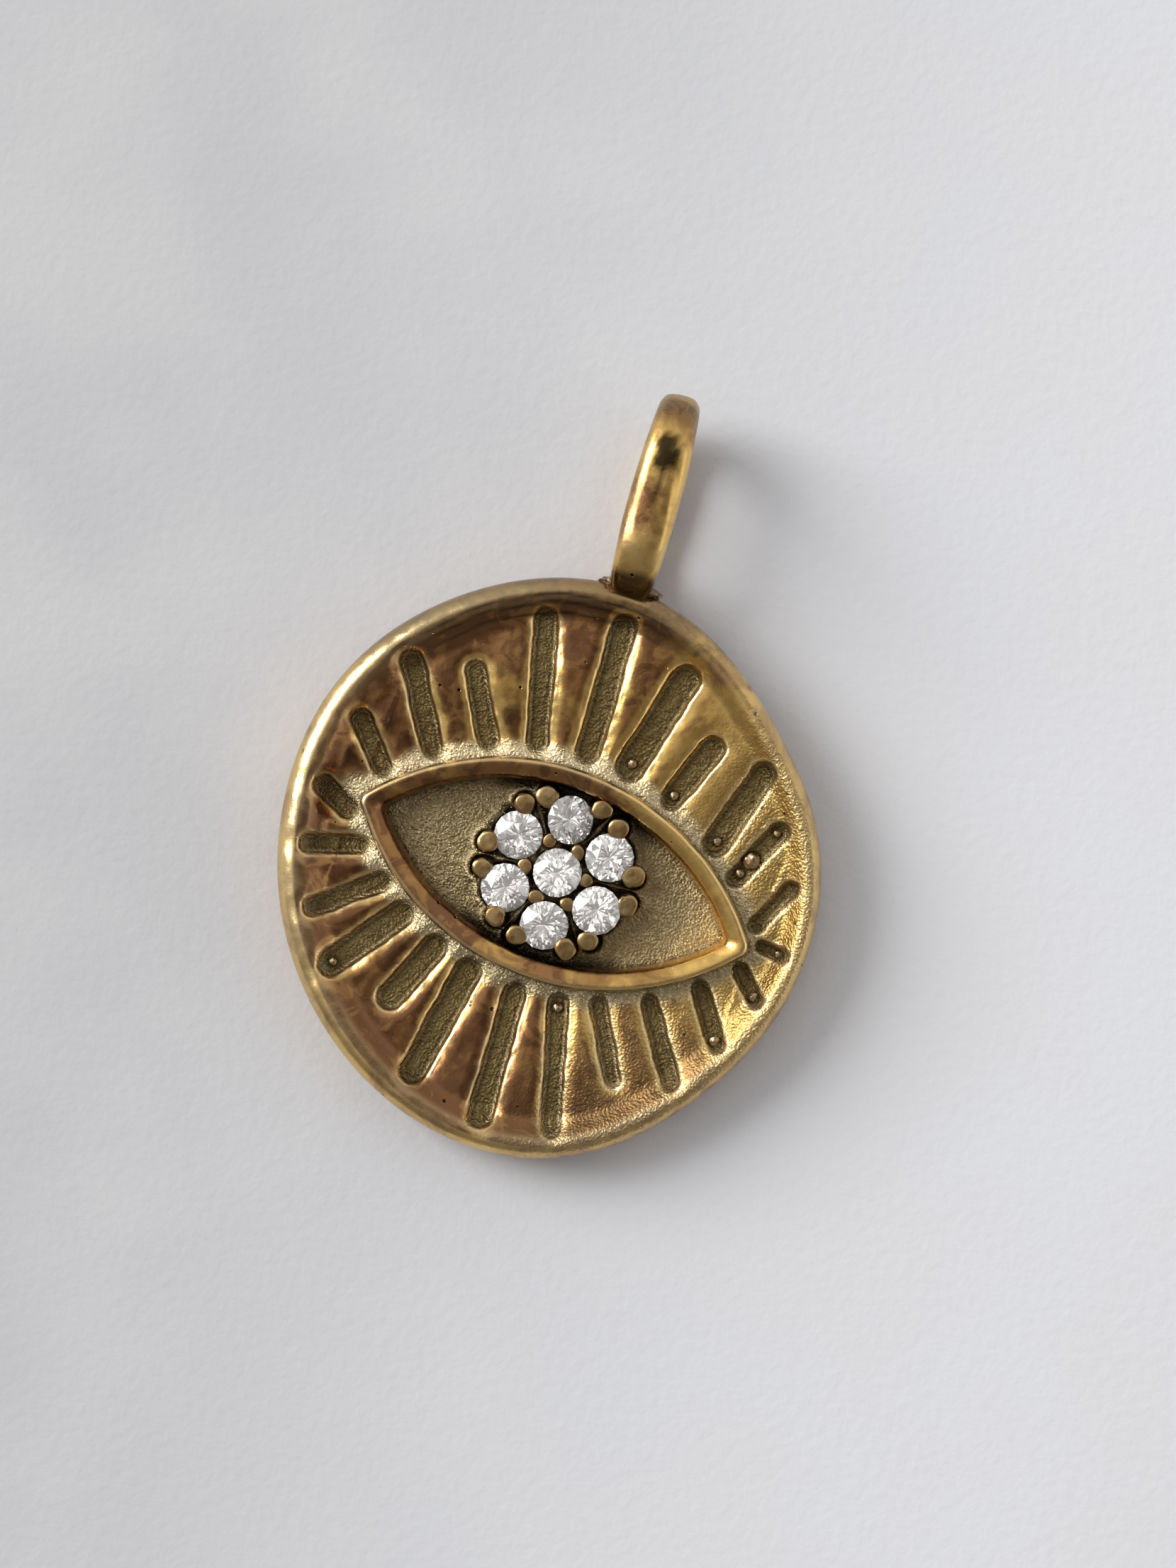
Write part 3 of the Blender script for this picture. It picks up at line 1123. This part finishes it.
def add_softbox(name, direction, distance, size, power, colour, through_stones=False):
    data = bpy.data.lights.new(name, "AREA")
    data.shape = "RECTANGLE"
    data.size, data.size_y = size[0] * MM, size[1] * MM
    data.energy = power
    data.color = colour
    lamp = bpy.data.objects.new(name, data)
    towards = view_direction(*direction)
    lamp.location = towards * distance * MM
    lamp.rotation_euler = towards.to_track_quat("Z", "Y").to_euler()
    bpy.context.scene.collection.objects.link(lamp)
    if through_stones:
        lamp.visible_diffuse = lamp.visible_glossy = False


def make_lights():
    for softbox in SOFTBOXES:
        add_softbox(*softbox)
    world = bpy.data.worlds.new("studio")
    world.use_nodes = True
    tree = world.node_tree
    tree.nodes.clear()
    heading = add(tree, "TexCoord").outputs["Generated"]

    def towards(direction):
        return add(tree, "VectorMath", {0: heading, 1: direction}, operation="DOT_PRODUCT").outputs["Value"]

    lit = remap(tree, towards(view_direction(0.2, 1.0, 0.0)), -0.8, 0.25)
    wall = mix_colour(tree, lit, (0.30, 0.29, 0.28, 1), (0.98, 0.97, 0.96, 1))
    overhead = remap(tree, towards(view_direction(0.35, -0.30, 1.0)), 0.80, 0.965)
    tone = mix_colour(tree, overhead, wall, (0.30, 0.26, 0.225, 1))
    sky = add(tree, "Background", {"Color": tone, "Strength": 0.72})
    add(tree, "OutputWorld", {"Surface": sky.outputs[0]})
    bpy.context.scene.world = world


def make_camera():
    """Straight above the charm, turned so that the bail leans to the right."""
    data = bpy.data.cameras.new("camera")
    data.sensor_width = 36.0
    data.lens = data.sensor_width / 2 / (VIEW_HEIGHT / 2 / VIEW_DISTANCE)
    data.clip_start, data.clip_end = 1 * MM, 5000 * MM
    camera = bpy.data.objects.new("camera", data)
    camera.location = (Vector(VIEW_CENTRE) + Vector((0, 0, VIEW_DISTANCE))) * MM
    camera.rotation_euler = (0, 0, math.radians(LEAN))
    bpy.context.scene.collection.objects.link(camera)
    bpy.context.scene.camera = camera


# ---- the whole charm


def main():
    cast_gold = make_masked_gold("cast_gold")
    ridge_gold = make_masked_gold("ridge_gold")
    bail_gold = make_masked_gold("bail_gold")
    claw_gold = make_polished_gold("claw_gold", CLAW_TOP, 0.42, 0.27, waves=0.10, patch=0.35)
    bead_gold = make_polished_gold("bead_gold", BEAD, 0.40, 0.36, waves=0.015, patch=0.3)
    clear_stone = make_clear_stone()
    make_medallion(cast_gold)
    make_eye_frame(ridge_gold)
    make_bail(bail_gold)
    make_solder_bead(make_solder())
    for number, node in enumerate(STONES):
        make_stone(node, number, clear_stone)
    make_claws(claw_gold)
    make_casting_beads(bead_gold)
    make_casting_grit(make_polished_gold("grit_gold", GRIT, 0.10, 0.30, waves=0.015, patch=1.0))
    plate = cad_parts["rosette_plate"]
    plate.data.materials.clear()
    plate.data.materials.append(make_oxidised())
    make_table_top(make_floor_material())
    make_lights()
    make_camera()
    bpy.context.scene.view_settings.view_transform = "Standard"


main()
